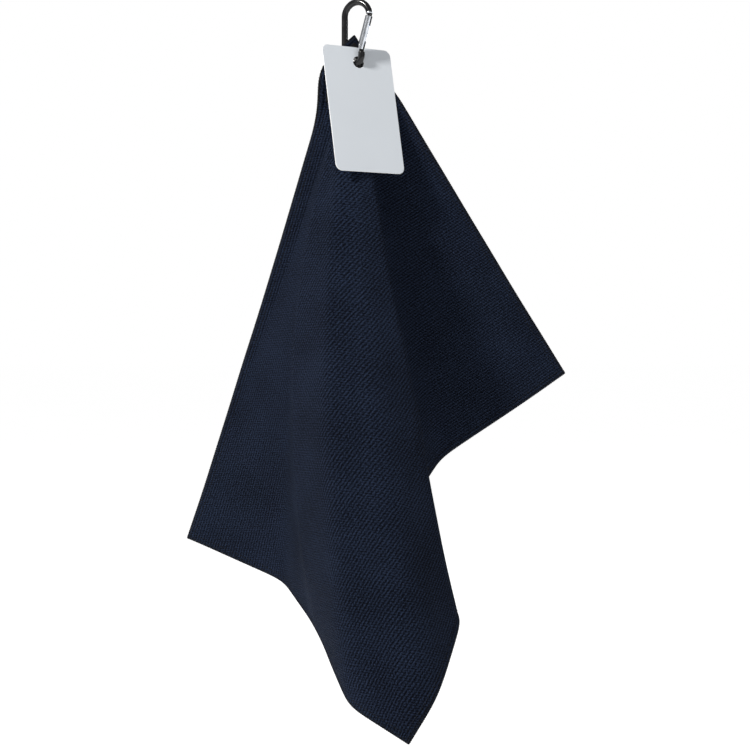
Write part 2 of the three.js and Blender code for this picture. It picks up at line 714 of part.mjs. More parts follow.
// ---- tag ----
function tagCard() {
  const left = -TAG_WIDTH / 2 - TAG_HOLE_RIGHT;
  const right = left + TAG_WIDTH;
  const top = TAG_HOLE_DOWN;
  const bottom = top - TAG_HEIGHT;
  const corner = TAG_CORNER;
  const shape = new THREE.Shape();
  shape.moveTo(left + corner, bottom);
  shape.lineTo(right - corner, bottom);
  shape.absarc(right - corner, bottom + corner, corner, -Math.PI / 2, 0);
  shape.lineTo(right, top - corner);
  shape.absarc(right - corner, top - corner, corner, 0, Math.PI / 2);
  shape.lineTo(left + corner, top);
  shape.absarc(left + corner, top - corner, corner, Math.PI / 2, Math.PI);
  shape.lineTo(left, bottom + corner);
  shape.absarc(left + corner, bottom + corner, corner, Math.PI, 1.5 * Math.PI);
  const hole = new THREE.Path();
  hole.absarc(0, 0, TAG_HOLE_D / 2, 0, 2 * Math.PI, true);
  shape.holes.push(hole);
  const settings = { depth: TAG_THICK, bevelEnabled: false, curveSegments: 8 };
  return new THREE.ExtrudeGeometry(shape, settings).rotateX(Math.PI / 2).translate(0, TAG_THICK / 2, 0);
}

function addTag() {
  const tag = addPart('hang_tag', tagCard(), MATERIALS.card);
  tag.rotation.set(-TAG_PITCH * RAD, 0, TAG_YAW * RAD, 'ZYX');
  tag.position.copy(lowBend).add(TAG_FROM_BEND);
}

addCarabiner();
addTowel();
addEyelet();
addTag();

export default group;
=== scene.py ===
"""A golf towel hung by one corner from a small key carabiner, with a card hang tag in front of it.

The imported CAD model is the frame. Its pieces are built here again in fine mesh in the same place,
apart from the gate's plunger and spring, which are the frame's own and only get a material.
"""

import math

import bmesh
import bpy
import numpy as np
from mathutils import Matrix, Vector


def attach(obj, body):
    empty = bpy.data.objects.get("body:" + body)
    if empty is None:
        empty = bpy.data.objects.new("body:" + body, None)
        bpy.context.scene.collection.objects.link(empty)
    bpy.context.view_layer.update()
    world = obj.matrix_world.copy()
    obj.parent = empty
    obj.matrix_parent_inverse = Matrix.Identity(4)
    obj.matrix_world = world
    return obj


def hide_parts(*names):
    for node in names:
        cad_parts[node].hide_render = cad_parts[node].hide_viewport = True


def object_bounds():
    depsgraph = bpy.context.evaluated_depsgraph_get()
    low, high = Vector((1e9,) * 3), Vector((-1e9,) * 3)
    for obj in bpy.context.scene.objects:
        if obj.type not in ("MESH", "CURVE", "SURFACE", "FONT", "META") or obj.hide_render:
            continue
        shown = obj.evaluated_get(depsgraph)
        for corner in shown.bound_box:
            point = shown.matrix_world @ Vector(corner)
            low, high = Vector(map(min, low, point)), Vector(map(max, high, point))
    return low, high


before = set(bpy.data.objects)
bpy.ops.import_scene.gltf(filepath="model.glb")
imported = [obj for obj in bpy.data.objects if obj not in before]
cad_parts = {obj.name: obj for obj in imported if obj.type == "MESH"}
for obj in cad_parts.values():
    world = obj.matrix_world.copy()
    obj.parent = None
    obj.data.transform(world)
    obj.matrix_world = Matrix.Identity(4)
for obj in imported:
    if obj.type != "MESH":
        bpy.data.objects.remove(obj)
cad_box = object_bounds()
MM = 0.001


# ---- sizes, in millimetres, the same as in CAD ----

RING_YAW = -27
ROD_D = 4.8
RING_WIDTH = 25
RING_HEIGHT = 50
LOW_BEND_R = 6.8
LEG_LENGTH = 2.6
NOSE_CUT = 3.4
TANG_THICK = 1.6
TANG_WIDTH = 3.2
HOOK_HEIGHT = 1.3
NOTCH_HEIGHT = 2.1
HINGE_RISE = 4
CAM_R = (1.6, 2.0)
CAM_TURN = 25
GATE_D = 5.2
GATE_BORE = 3.2
GATE_SLOT = 2.3
GATE_BELOW = 2.6
GATE_TOP_CLEAR = 0.4
LOW_SLOT = 3.6
TOP_SLOT = 7.2
BORE_PAST_SLOT = 0.9  # solid left between the bore and the top slot
NOTCH_CLEAR = 0.35  # the nose pin's room in its notch
TANG_INNER = 0.4  # share of the nose tang's width inside the gate's line
RIVET_D = 1.2
RIVET_HEAD_D = 2.2
RIVET_HEAD = 0.5
RIVET_SHAKE = 0.2  # gap under each rivet head
PIN_D = 1.2
PIN_FROM_TOP = 3.6
GAP = 0.3

TOWEL_LONG = 406
TOWEL_SHORT = 305
CLOTH_THICK = 1.2
HEM_WIDTH = 4
HEM_THICK = 1.6
EYE_FROM_TIP = 24
EYE_POS = np.array([-3.5, 1.75, -44.05])
CORNER_YAW = 36
CORNER_PITCH = 1
CORNER_ROLL = -5
FLAT_R = 12
FOLDED_R = 46
FOLDED_LEFT_R = 26
FOLD_SOFTNESS = 1.4
# Directions from the eyelet down the folds: right of straight down, away from the viewer, in degrees.
FOLDS = (
    (-20.6, 13.4),  # left edge
    (-8.0, 10.0),  # left flap, turned back
    (-4.4, 2.4),
    (0.0, -11.0),  # soft ridge
    (6.6, -11.4),  # front panel, over the bottom corner
    (11.4, -5.3),  # front fold
    (0.0, -1.1),  # hidden fold, its first angle comes from the cloth that is left
    (13.0, 12.5),  # right panel, behind
    (36.0, 15.7),  # right edge
)
HIDDEN_FOLD = 6
# How far the middle of each line of cloth bows: angle in the cloth, to the right, away.
BOWS = (
    (-60, 0, 0),
    (-2, 1.7, 4),
    (12, -16, -16),
    (22, -31, -16.5),
    (36, -15, -3),
    (45, -2.5, -8),
    (60, -6.5, -8),
    (92, -1.5, -6),
)
FOLD_SHIFT = np.array([1.5, -2.0, 0.0])
PATCH_LEG = 44
PATCH_THICK = 0.5
PATCH_GAP = 0.2

EYE_BORE = 12
EYE_WALL = 0.6
FLANGE_D = 16.6
FLANGE_THICK = 0.6
EYE_GAP = 0.25

TAG_WIDTH = 57
TAG_HEIGHT = 95
TAG_THICK = 0.6
TAG_CORNER = 5
TAG_HOLE_D = 9
TAG_HOLE_DOWN = 11.4
TAG_HOLE_RIGHT = 0.5
TAG_POS = (0.8, -0.8, -41.4)
TAG_YAW = 31
TAG_PITCH = 13

# Fine detail that only the looks have
CLOTH_STEP = 2.0  # between the points of the cloth's mesh
RIB_PITCH = 2.2
THREAD_PITCH = 1.5  # overlock thread along the hem
THREAD_D = 0.45
STITCH_LENGTH = 2.7
STITCH_PITCH = 3.4
STITCH_D = 0.45
STITCH_IN = 5.4  # line of stitches from the towel's edge


# ---- camera, light and floor ----


def aim(thing, target):
    thing.rotation_euler = (Vector(target) - thing.location).to_track_quat("-Z", "Y").to_euler()


def make_camera():
    low, high = cad_box
    view_height = 0.5475
    distance = 1.2
    data = bpy.data.cameras.new("camera")
    data.lens = data.sensor_width / 2 / (view_height / 2 / distance)
    camera = bpy.data.objects.new("camera", data)
    bpy.context.scene.collection.objects.link(camera)
    middle = Vector(((low.x + high.x) / 2, 0, (low.z + high.z) / 2 - 0.0125))
    elevation = math.radians(1)
    camera.location = middle + distance * Vector((0, -math.cos(elevation), math.sin(elevation)))
    aim(camera, middle)
    bpy.context.scene.camera = camera


def area_light(name, place, target, size, power, colour=(1, 1, 1)):
    data = bpy.data.lights.new(name, "AREA")
    data.energy = power
    data.size = size
    data.color = colour
    light = bpy.data.objects.new(name, data)
    bpy.context.scene.collection.objects.link(light)
    light.location = place
    aim(light, target)


def make_stage():
    world = bpy.data.worlds.new("studio")
    world.use_nodes = True
    tree = world.node_tree
    tree.nodes.clear()
    output = tree.nodes.new("ShaderNodeOutputWorld")
    mix = tree.nodes.new("ShaderNodeMixShader")
    path = tree.nodes.new("ShaderNodeLightPath")
    soft = tree.nodes.new("ShaderNodeBackground")
    soft.inputs["Color"].default_value = (1, 1, 1, 1)
    soft.inputs["Strength"].default_value = 0.24
    seen = tree.nodes.new("ShaderNodeBackground")
    seen.inputs["Color"].default_value = (1, 1, 1, 1)
    seen.inputs["Strength"].default_value = 1.0
    tree.links.new(path.outputs["Is Camera Ray"], mix.inputs["Fac"])
    tree.links.new(soft.outputs[0], mix.inputs[1])
    tree.links.new(seen.outputs[0], mix.inputs[2])
    tree.links.new(mix.outputs[0], output.inputs["Surface"])
    bpy.context.scene.world = world
    bpy.context.scene.view_settings.view_transform = "Standard"
    low = cad_box[0]
    middle = (0.0, 0.0, low.z / 2)
    area_light("key", (-1.1, -1.1, 0.85), middle, 0.2, 41, (1, 0.985, 0.96))
    area_light("fill", (1.1, -1.0, -0.1), middle, 1.2, 1.2, (0.92, 0.96, 1))
    area_light("back", (0.5, 1.5, 0.4), middle, 1.0, 16)
    level = low.z - 0.09
    floor = mesh_object("floor", [(-9, -3, level), (9, -3, level), (9, 30, level), (-9, 30, level)],
                        [(0, 1, 2, 3)])
    dress(floor, floor_paint())


# ---- meshes ----


def mesh_object(name, points, faces, uv=None, smooth=True):
    mesh = bpy.data.meshes.new(name)
    mesh.from_pydata([tuple(p) for p in points], [], [tuple(int(i) for i in f) for f in faces])
    if uv is not None:
        layer = mesh.uv_layers.new(name="cloth")
        corner = np.zeros(len(mesh.loops), np.int32)
        mesh.loops.foreach_get("vertex_index", corner)
        layer.data.foreach_set("uv", np.asarray(uv, np.float32)[corner].ravel())
    if smooth:
        mesh.polygons.foreach_set("use_smooth", [True] * len(mesh.polygons))
    mesh.update()
    made = bpy.data.objects.new(name, mesh)
    bpy.context.scene.collection.objects.link(made)
    return made


def dress(piece, material, *also):
    piece.data.materials.clear()
    for one in (material, *also):
        piece.data.materials.append(one)
    return piece


def sharpen(piece, degrees=35):
    piece.data.set_sharp_from_angle(angle=math.radians(degrees))
    return piece


def settle(piece):
    """Applies a piece's modifiers."""
    graph = bpy.context.evaluated_depsgraph_get()
    mesh = bpy.data.meshes.new_from_object(piece.evaluated_get(graph))
    piece.modifiers.clear()
    piece.data = mesh
    return piece


def bevelled(piece, width, segments=3, degrees=30):
    bevel = piece.modifiers.new("bevel", "BEVEL")
    bevel.width = width * MM
    bevel.segments = segments
    bevel.limit_method = "ANGLE"
    bevel.angle_limit = math.radians(degrees)
    settle(piece)
    piece.data.polygons.foreach_set("use_smooth", [True] * len(piece.data.polygons))
    return sharpen(piece)


def carve(piece, cutters):
    for cutter in cutters:
        cut = piece.modifiers.new("cut", "BOOLEAN")
        cut.operation = "DIFFERENCE"
        cut.solver = "EXACT"
        cut.object = cutter
    settle(piece)
    for cutter in cutters:
        bpy.data.objects.remove(cutter)
    return piece


def box_piece(low, high):
    corners = [(x, y, z) for x in (low[0], high[0]) for y in (low[1], high[1]) for z in (low[2], high[2])]
    faces = [(0, 1, 3, 2), (4, 6, 7, 5), (0, 4, 5, 1), (2, 3, 7, 6), (0, 2, 6, 4), (1, 5, 7, 3)]
    return mesh_object("cutter", np.array(corners) * MM, faces, smooth=False)


def lathe(name, profile, sides=64, closed=True):
    """Turns (radius, height) points about Z. A closed profile ends where it starts."""
    profile = np.array(profile, float) * MM
    turn = np.arange(sides) / sides * 2 * math.pi
    rings = [np.stack([r * np.cos(turn), r * np.sin(turn), np.full(sides, z)], 1) for r, z in profile]
    points = np.concatenate(rings)
    faces = []
    count = len(profile)
    for i in range(count if closed else count - 1):
        j = (i + 1) % count
        for k in range(sides):
            m = (k + 1) % sides
            faces.append((i * sides + k, i * sides + m, j * sides + m, j * sides + k))
    if not closed:
        faces.append(tuple(reversed(range(sides))))
        faces.append(tuple((count - 1) * sides + k for k in range(sides)))
    return mesh_object(name, points, faces)


def turned(piece, matrix):
    piece.data.transform(matrix)
    return piece


def along_y(piece):
    return turned(piece, Matrix.Rotation(math.pi / 2, 4, "X"))


def plate(name, outline, thick):
    """A flat plate over an outline of (x, z) points, thick along Y."""
    form = bmesh.new()
    corners = [form.verts.new((x * MM, -thick / 2 * MM, z * MM)) for x, z in outline]
    face = form.faces.new(corners)
    grown = bmesh.ops.extrude_face_region(form, geom=[face])
    moved = [v for v in grown["geom"] if isinstance(v, bmesh.types.BMVert)]
    bmesh.ops.translate(form, verts=moved, vec=(0, thick * MM, 0))
    bmesh.ops.recalc_face_normals(form, faces=form.faces)
    mesh = bpy.data.meshes.new(name)
    form.to_mesh(mesh)
    form.free()
    made = bpy.data.objects.new(name, mesh)
    bpy.context.scene.collection.objects.link(made)
    return made


def tube(centres, outward, radius, sides):
    """Points and faces of a round tube through centres. outward is one side direction per centre."""
    tangent = np.gradient(centres, axis=0)
    tangent /= np.linalg.norm(tangent, axis=1)[:, None]
    side = outward - (outward * tangent).sum(1)[:, None] * tangent
    side /= np.linalg.norm(side, axis=1)[:, None]
    other = np.cross(tangent, side)
    turn = np.arange(sides) / sides * 2 * math.pi
    radius = np.broadcast_to(radius, len(centres))[:, None, None]
    ring = side[:, None, :] * np.cos(turn)[None, :, None] + other[:, None, :] * np.sin(turn)[None, :, None]
    points = (centres[:, None, :] + radius * ring).reshape(-1, 3)
    count = len(centres)
    i = np.arange(count - 1)[:, None] * sides
    k = np.arange(sides)[None, :]
    m = (k + 1) % sides
    faces = np.stack([i + k, i + m, i + sides + m, i + sides + k], -1).reshape(-1, 4)
    faces = [tuple(f) for f in faces]
    faces.append(tuple(reversed(range(sides))))
    faces.append(tuple((count - 1) * sides + n for n in range(sides)))
    return points, faces


def joined(parts):
    points, faces, start = [], [], 0
    for p, f in parts:
        points.append(p)
        faces.extend(tuple(i + start for i in face) for face in f)
        start += len(p)
    return np.concatenate(points), faces


# ---- materials ----


class Paint:
    """A procedural material, built node by node round one principled shader."""

    def __init__(self, name):
        self.material = bpy.data.materials.new(name)
        self.material.use_nodes = True
        self.nodes = self.material.node_tree.nodes
        self.links = self.material.node_tree.links
        self.shader = self.nodes["Principled BSDF"]

    def value(self, socket, number):
        self.shader.inputs[socket].default_value = number
        return self

    def link(self, source, target):
        self.links.new(source, target)

    def coordinates(self, kind):
        return self.nodes.new("ShaderNodeTexCoord").outputs[kind]

    def stretched(self, vector, scale):
        node = self.nodes.new("ShaderNodeMapping")
        node.inputs["Scale"].default_value = scale
        self.link(vector, node.inputs["Vector"])
        return node.outputs["Vector"]

    def noise(self, vector, scale, detail=2.0, roughness=0.5):
        node = self.nodes.new("ShaderNodeTexNoise")
        node.inputs["Scale"].default_value = scale
        node.inputs["Detail"].default_value = detail
        node.inputs["Roughness"].default_value = roughness
        self.link(vector, node.inputs["Vector"])
        return node.outputs["Fac"]

    def math(self, operation, first, second=0.0, third=0.0):
        node = self.nodes.new("ShaderNodeMath")
        node.operation = operation
        for socket, source in zip(node.inputs, (first, second, third)):
            if isinstance(source, (int, float)):
                socket.default_value = source
            else:
                self.link(source, socket)
        return node.outputs["Value"]

    def remap(self, value, low, high, new_low, new_high):
        node = self.nodes.new("ShaderNodeMapRange")
        sockets = ("From Min", "From Max", "To Min", "To Max")
        for socket, number in zip(sockets, (low, high, new_low, new_high)):
            node.inputs[socket].default_value = number
        self.link(value, node.inputs["Value"])
        return node.outputs["Result"]

    def colours(self, share, first, second):
        node = self.nodes.new("ShaderNodeMix")
        node.data_type = "RGBA"
        # The colour mix's sockets share their names with the number mix's, so they go by place.
        factor, first_colour, second_colour = (node.inputs[i] for i in (0, 6, 7))
        first_colour.default_value = (*first, 1)
        second_colour.default_value = (*second, 1)
        self.link(share, factor)
        self.link(node.outputs[2], self.shader.inputs["Base Color"])
        return self

    def bump(self, height, distance, strength=1.0):
        node = self.nodes.new("ShaderNodeBump")
        node.inputs["Strength"].default_value = strength
        node.inputs["Distance"].default_value = distance
        self.link(height, node.inputs["Height"])
        self.link(node.outputs["Normal"], self.shader.inputs["Normal"])
        return self


def floor_paint():
    paint = Paint("pale_floor")
    grain = paint.noise(paint.coordinates("Object"), 4)
    paint.colours(grain, (0.26, 0.26, 0.26), (0.3, 0.3, 0.3)).value("Roughness", 0.95)
    paint.value("Specular IOR Level", 0.0)
    paint.value("Emission Color", (1, 1, 1, 1)).value("Emission Strength", 0.93)
    return paint.material


def microfibre_paint():
    """Waffle-like ribs along the towel's long side, made of small loops."""
    paint = Paint("navy_microfibre")
    flat = paint.coordinates("UV")
    split = paint.nodes.new("ShaderNodeSeparateXYZ")
    paint.link(flat, split.inputs["Vector"])
    along, across = split.outputs["X"], split.outputs["Y"]
    wander = paint.noise(flat, 160, 3)
    turns = paint.math("MULTIPLY", across, 2 * math.pi / (RIB_PITCH * MM))
    phase = paint.math("MULTIPLY_ADD", wander, 3.2, turns)
    rib = paint.remap(paint.math("SINE", phase), -1, 1, 0, 1)
    beat = paint.math("MULTIPLY", along, 2 * math.pi / (1.9 * MM))
    stagger = paint.math("MULTIPLY_ADD", turns, 0.5, beat)
    knot = paint.remap(paint.math("SINE", paint.math("MULTIPLY_ADD", wander, 4.0, stagger)), -1, 1, 0, 1)
    loops = paint.remap(paint.noise(paint.stretched(flat, (1, 1.5, 1)), 800, 3, 0.7), 0.36, 0.64, 0, 1)
    weave = paint.math("MULTIPLY_ADD", knot, 0.3, paint.math("MULTIPLY", rib, 0.5))
    height = paint.math("MULTIPLY_ADD", loops, 0.9, weave)
    blotch = paint.noise(flat, 22, 3)
    tone = paint.math("MULTIPLY_ADD", blotch, 0.5, height)
    paint.colours(paint.remap(tone, 0.8, 1.65, 0, 1), (0.0007, 0.0011, 0.0032), (0.0290, 0.0450, 0.0900))
    paint.bump(height, 0.0016, 1.0)
    paint.value("Roughness", 0.95).value("Specular IOR Level", 0.05)
    paint.value("Sheen Weight", 0.03).value("Sheen Roughness", 0.5).value("Sheen Tint", (0.5, 0.62, 1, 1))
    return paint.material


def thread_paint(name, dark, light):
    """Twisted thread: fine slanted ply and uneven dye."""
    paint = Paint(name)
    place = paint.coordinates("Object")
    ply = paint.noise(paint.stretched(place, (1, 1, 2.2)), 2600, 3, 0.6)
    dye = paint.noise(place, 55, 3)
    paint.colours(paint.math("MULTIPLY_ADD", dye, 0.6, paint.math("MULTIPLY", ply, 0.5)), dark, light)
    paint.bump(ply, 0.00025, 0.8)
    paint.value("Roughness", 0.8).value("Sheen Weight", 0.03).value("Specular IOR Level", 0.15)
    return paint.material


def patch_paint():
    """Plain tight weave, matt black."""
    paint = Paint("black_patch_weave")
    flat = paint.coordinates("UV")
    split = paint.nodes.new("ShaderNodeSeparateXYZ")
    paint.link(flat, split.inputs["Vector"])
    warp = paint.math("SINE", paint.math("MULTIPLY", split.outputs["X"], 2 * math.pi / (0.8 * MM)))
    weft = paint.math("SINE", paint.math("MULTIPLY", split.outputs["Y"], 2 * math.pi / (0.8 * MM)))
    weave = paint.remap(paint.math("MULTIPLY", warp, weft), -1, 1, 0, 1)
    lint = paint.noise(flat, 700, 3)
    height = paint.math("MULTIPLY_ADD", lint, 0.5, weave)
    paint.colours(height, (0.0035, 0.0035, 0.004), (0.013, 0.013, 0.014))
    paint.bump(height, 0.0002, 0.7).value("Roughness", 0.9).value("Specular IOR Level", 0.2)
    return paint.material


def black_metal_paint():
    """Glossy black coating with faint orange peel and duller rubbed spots."""
    paint = Paint("black_coated_metal")
    place = paint.coordinates("Object")
    peel = paint.noise(place, 900, 2)
    rub = paint.noise(place, 140, 4, 0.6)
    paint.colours(paint.remap(rub, 0.35, 0.75, 0, 1), (0.004, 0.004, 0.0045), (0.011, 0.011, 0.012))
    paint.link(paint.remap(rub, 0.3, 0.8, 0.12, 0.3), paint.shader.inputs["Roughness"])
    paint.bump(peel, 0.00005, 0.25)
    paint.value("Coat Weight", 0.2).value("Coat Roughness", 0.08).value("Specular IOR Level", 0.3)
    return paint.material


def bright_metal_paint(name, dark, light, rough):
    """Polished metal with fine lengthwise draw lines and scuffs."""
    paint = Paint(name)
    place = paint.coordinates("Object")
    lines = paint.noise(paint.stretched(place, (6, 6, 0.4)), 900, 3, 0.7)
    scuff = paint.noise(place, 220, 4, 0.6)
    paint.colours(paint.remap(scuff, 0.35, 0.7, 0, 1), light, dark)
    paint.link(paint.remap(lines, 0.3, 0.7, rough * 0.7, rough * 1.5), paint.shader.inputs["Roughness"])
    paint.bump(lines, 0.00004, 0.35).value("Metallic", 1.0)
    return paint.material


def card_paint():
    """Smooth white card with a faint fibre grain."""
    paint = Paint("white_card")
    place = paint.coordinates("Object")
    fibre = paint.noise(paint.stretched(place, (1, 1, 2.5)), 1400, 4, 0.6)
    cloud = paint.noise(place, 30, 2)
    paint.colours(paint.math("MULTIPLY_ADD", cloud, 0.5, paint.math("MULTIPLY", fibre, 0.5)),
                  (0.625, 0.662, 0.708), (0.69, 0.73, 0.775))
    paint.bump(fibre, 0.00005, 0.5).value("Roughness", 0.55).value("Specular IOR Level", 0.4)
    return paint.material


def card_edge_highlight_paint():
    """The card's cut edge, painted brighter than its faces as a painted highlight where light catches it.
    """
    paint = Paint("card_edge_painted_highlight")
    fibre = paint.noise(paint.coordinates("Object"), 2500, 3)
    paint.colours(fibre, (0.82, 0.83, 0.84), (0.93, 0.93, 0.93))
    paint.bump(fibre, 0.00004, 0.4).value("Roughness", 0.7)
    return paint.material


# ---- the towel's surface ----

EYE_INSET = EYE_FROM_TIP / math.sqrt(2)
PATH_STEP = 0.25
PATH_ENDS = 60
FIRST_ANGLE = -math.degrees(math.atan2(EYE_INSET, TOWEL_LONG - EYE_INSET))
LAST_ANGLE = 90 + math.degrees(math.atan2(EYE_INSET, TOWEL_SHORT - EYE_INSET))


def direction(right, away):
    right, away = math.radians(right), math.radians(away)
    return np.array([math.sin(right) * math.cos(away), math.sin(away), -math.cos(right) * math.cos(away)])


def unit(v):
    return v / np.linalg.norm(v, axis=-1, keepdims=True)


def fold_path(folds):
    """Every direction from one edge of the cloth to the other, in small steps round the folds."""
    corners = [direction(*fold) for fold in folds]
    raw = []
    for a, b in zip(corners, corners[1:]):
        angle = math.acos(a @ b)
        count = max(2, round(math.degrees(angle) / PATH_STEP))
        for share in np.arange(count) / count:
            raw.append((math.sin((1 - share) * angle) * a + math.sin(share * angle) * b) / math.sin(angle))
    raw = np.array([*raw, corners[-1]])

    def run_on(start, inner):
        tangent = unit(start - inner - start * ((start - inner) @ start))
        turn = np.radians(PATH_STEP * np.arange(1, PATH_ENDS / PATH_STEP + 1))[:, None]
        return np.cos(turn) * start + np.sin(turn) * tangent

    before = run_on(raw[0], raw[1])[::-1]
    after = run_on(raw[-1], raw[-2])
    whole = np.concatenate([before, raw, after])
    reach = round(4 * FOLD_SOFTNESS / PATH_STEP)
    weight = np.exp(-((np.arange(-reach, reach + 1) * PATH_STEP) ** 2) / (2 * FOLD_SOFTNESS**2))
    padded = np.pad(whole, ((reach, reach), (0, 0)), mode="edge")
    smooth = unit(np.stack([np.convolve(padded[:, i], weight, "valid") for i in range(3)], 1))
    steps = np.degrees(np.arccos(np.clip((smooth[1:] * smooth[:-1]).sum(1), -1, 1)))
    angles = np.concatenate([[0], np.cumsum(steps)])
    start, end = len(before), len(before) + len(raw) - 1
    return smooth, angles - angles[start], angles[end] - angles[start]


def solved_path():
    """The hidden fold reaches as far as the cloth between the two edges allows."""
    low, high = -30.0, 8.0
    folds = [list(fold) for fold in FOLDS]
    for _ in range(30):
        folds[HIDDEN_FOLD][0] = (low + high) / 2
        smooth, angles, end = fold_path(folds)
        if end > LAST_ANGLE - FIRST_ANGLE:
            low = folds[HIDDEN_FOLD][0]
        else:
            high = folds[HIDDEN_FOLD][0]
    return smooth, angles


PATH, PATH_ANGLES = solved_path()
yaw, pitch = math.radians(CORNER_YAW), math.radians(CORNER_PITCH)
CORNER_RIGHT = np.array([math.cos(yaw), math.sin(yaw), 0])
CORNER_DOWN = np.array([
    math.sin(pitch) * math.sin(yaw),
    -math.sin(pitch) * math.cos(yaw),
    -math.cos(pitch),
])
CORNER_NORMAL = -np.cross(CORNER_RIGHT, CORNER_DOWN)


def smoothstep(value, low, high):
    share = np.clip((value - low) / (high - low), 0, 1)
    return share * share * (3 - 2 * share)


def middle_surface(a, b):
    """Middle of the cloth, in millimetres. a runs along the long side, b along the short side."""
    x, y = a - EYE_INSET, b - EYE_INSET
    angle = np.degrees(np.arctan2(y, x))
    reach = np.hypot(x, y)
    flat_turn = np.radians(angle - 45 + CORNER_ROLL)[..., None]
    flat = np.sin(flat_turn) * CORNER_RIGHT + np.cos(flat_turn) * CORNER_DOWN
    turned_by = angle - FIRST_ANGLE
    folded = unit(np.stack([np.interp(turned_by, PATH_ANGLES, PATH[:, i]) for i in range(3)], -1))
    behind = np.abs(np.where(angle < -135, angle + 315, angle - 45))
    folded_r = FOLDED_LEFT_R + (FOLDED_R - FOLDED_LEFT_R) * smoothstep(angle, 0, 40)
    share = smoothstep(reach, FLAT_R, folded_r) * (1 - smoothstep(behind, 60, 110))
    along = unit(flat + (folded - flat) * share[..., None])
    turn = np.radians(angle)
    to_long = (TOWEL_LONG - EYE_INSET) / np.maximum(np.cos(turn), 0.2)
    to_short = (TOWEL_SHORT - EYE_INSET) / np.maximum(np.sin(turn), 0.2)
    t = np.clip(reach / np.minimum(to_long, to_short), 0, 1)
    bow = 4 * t * (1 - t) * share
    table = np.array(BOWS, float)
    aside = np.interp(angle, table[:, 0], table[:, 1])
    away = np.interp(angle, table[:, 0], table[:, 2])
    bowed = np.stack([aside, away, np.zeros_like(aside)], -1) * bow[..., None]
    return EYE_POS + along * reach[..., None] + FOLD_SHIFT * share[..., None] + bowed


def creases(a, b):
    """Small soft dents and swells of handled cloth, in millimetres of height."""
    x, y = a - EYE_INSET, b - EYE_INSET
    angle, reach = np.arctan2(y, x), np.hypot(x, y)
    gathers = 0.55 * np.sin(23 * angle + 0.6) * np.exp(-((reach - 62) / 34) ** 2)
    swell = 1.0 * np.sin(reach / 31 + 3.1 * np.sin(2.3 * angle)) * np.sin(4.7 * angle + 1.1)
    dents = 0.5 * np.sin(a / 17 + 1.3 * np.sin(b / 29)) * np.sin(b / 21 + 0.7 * np.sin(a / 37))
    return gathers * smoothstep(reach, 60, 95) + (swell + dents) * smoothstep(reach, 60, 150)


def cloth_point(a, b, height):
    """A point at a height above the cloth's middle, in metres."""
    a, b = np.broadcast_arrays(np.asarray(a, float), np.asarray(b, float))
    step = 0.5

    def wavy(a, b):
        middle = middle_surface(a, b)
        along_a = middle_surface(a + step, b) - middle_surface(a - step, b)
        along_b = middle_surface(a, b + step) - middle_surface(a, b - step)
        return middle + unit(np.cross(along_a, along_b)) * creases(a, b)[..., None]

    along_a = wavy(a + step, b) - wavy(a - step, b)
    along_b = wavy(a, b + step) - wavy(a, b - step)
    normal = unit(np.cross(along_a, along_b))
    return (wavy(a, b) + normal * np.asarray(height, float)[..., None]) * MM


def sheet_mesh(name, a, b, low, high, keep=None):
    """A closed sheet over a grid of places, with heights low and high above the middle surface."""
    rows, columns = a.shape
    count = rows * columns
    points = np.concatenate([cloth_point(a, b, height).reshape(-1, 3) for height in (high, low)])
    uv = np.concatenate([np.stack([a, b], -1).reshape(-1, 2)] * 2) * MM
    at = np.arange(count).reshape(rows, columns)
    quads = np.stack([at[:-1, :-1], at[1:, :-1], at[1:, 1:], at[:-1, 1:]], -1)
    if keep is None:
        keep = np.ones(quads.shape[:2], bool)
    top = quads[keep]
    edges = {}
    for quad in top:
        for one, two in zip(quad, np.roll(quad, -1)):
            if (two, one) in edges:
                del edges[(two, one)]
            else:
                edges[(one, two)] = True
    rim = [(two, one, one + count, two + count) for one, two in edges]
    faces = [*map(tuple, top), *map(tuple, top[:, ::-1] + count), *rim]
    used = np.unique(np.concatenate([np.ravel(f) for f in (top, top + count)]))
    place = np.zeros(2 * count, int)
    place[used] = np.arange(len(used))
    faces = [tuple(place[list(face)]) for face in faces]
    return mesh_object(name, points[used], faces, uv[used])


# ---- towel ----

INSET = HEM_WIDTH + GAP


def ride_all(pieces, body, slot, *nodes):
    for piece in pieces:
        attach(piece, body)
    if nodes:
        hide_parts(*nodes)


def make_cloth():
    rows = round((TOWEL_LONG - 2) / CLOTH_STEP) + 1
    columns = round((TOWEL_SHORT - 2) / CLOTH_STEP) + 1
    a, b = np.meshgrid(
        np.linspace(1, TOWEL_LONG - 1, rows),
        np.linspace(1, TOWEL_SHORT - 1, columns),
        indexing="ij",
    )
    centre_a = (a[:-1, :-1] + a[1:, 1:]) / 2 - EYE_INSET
    centre_b = (b[:-1, :-1] + b[1:, 1:]) / 2 - EYE_INSET
    keep = np.hypot(centre_a, centre_b) > EYE_BORE / 2 + EYE_WALL
    # The cloth thins along the row of stitches, which pulls it in.
    edge = np.minimum.reduce([a, b, TOWEL_LONG - a, TOWEL_SHORT - b])
    groove = 1 - 0.45 * np.exp(-(((edge - STITCH_IN) / 0.9) ** 2))
    half = CLOTH_THICK / 2 * groove
    cloth = sheet_mesh("towel_cloth_fine", a, b, -half, half, keep)
    return dress(cloth, microfibre_paint())


def hem_places(side, along, across):
    """Places (a, b) of a point along one side of the towel and across its hem."""
    along, across = np.broadcast_arrays(along, across)
    return {
        "top_left": (along, across),
        "top_right": (across, along),
        "bottom_left": (TOWEL_LONG - across, along),
        "bottom_right": (along, TOWEL_SHORT - across),
    }[side]


SIDES = {
    "top_left": TOWEL_LONG,
    "top_right": TOWEL_SHORT,
    "bottom_left": TOWEL_SHORT,
    "bottom_right": TOWEL_LONG,
}
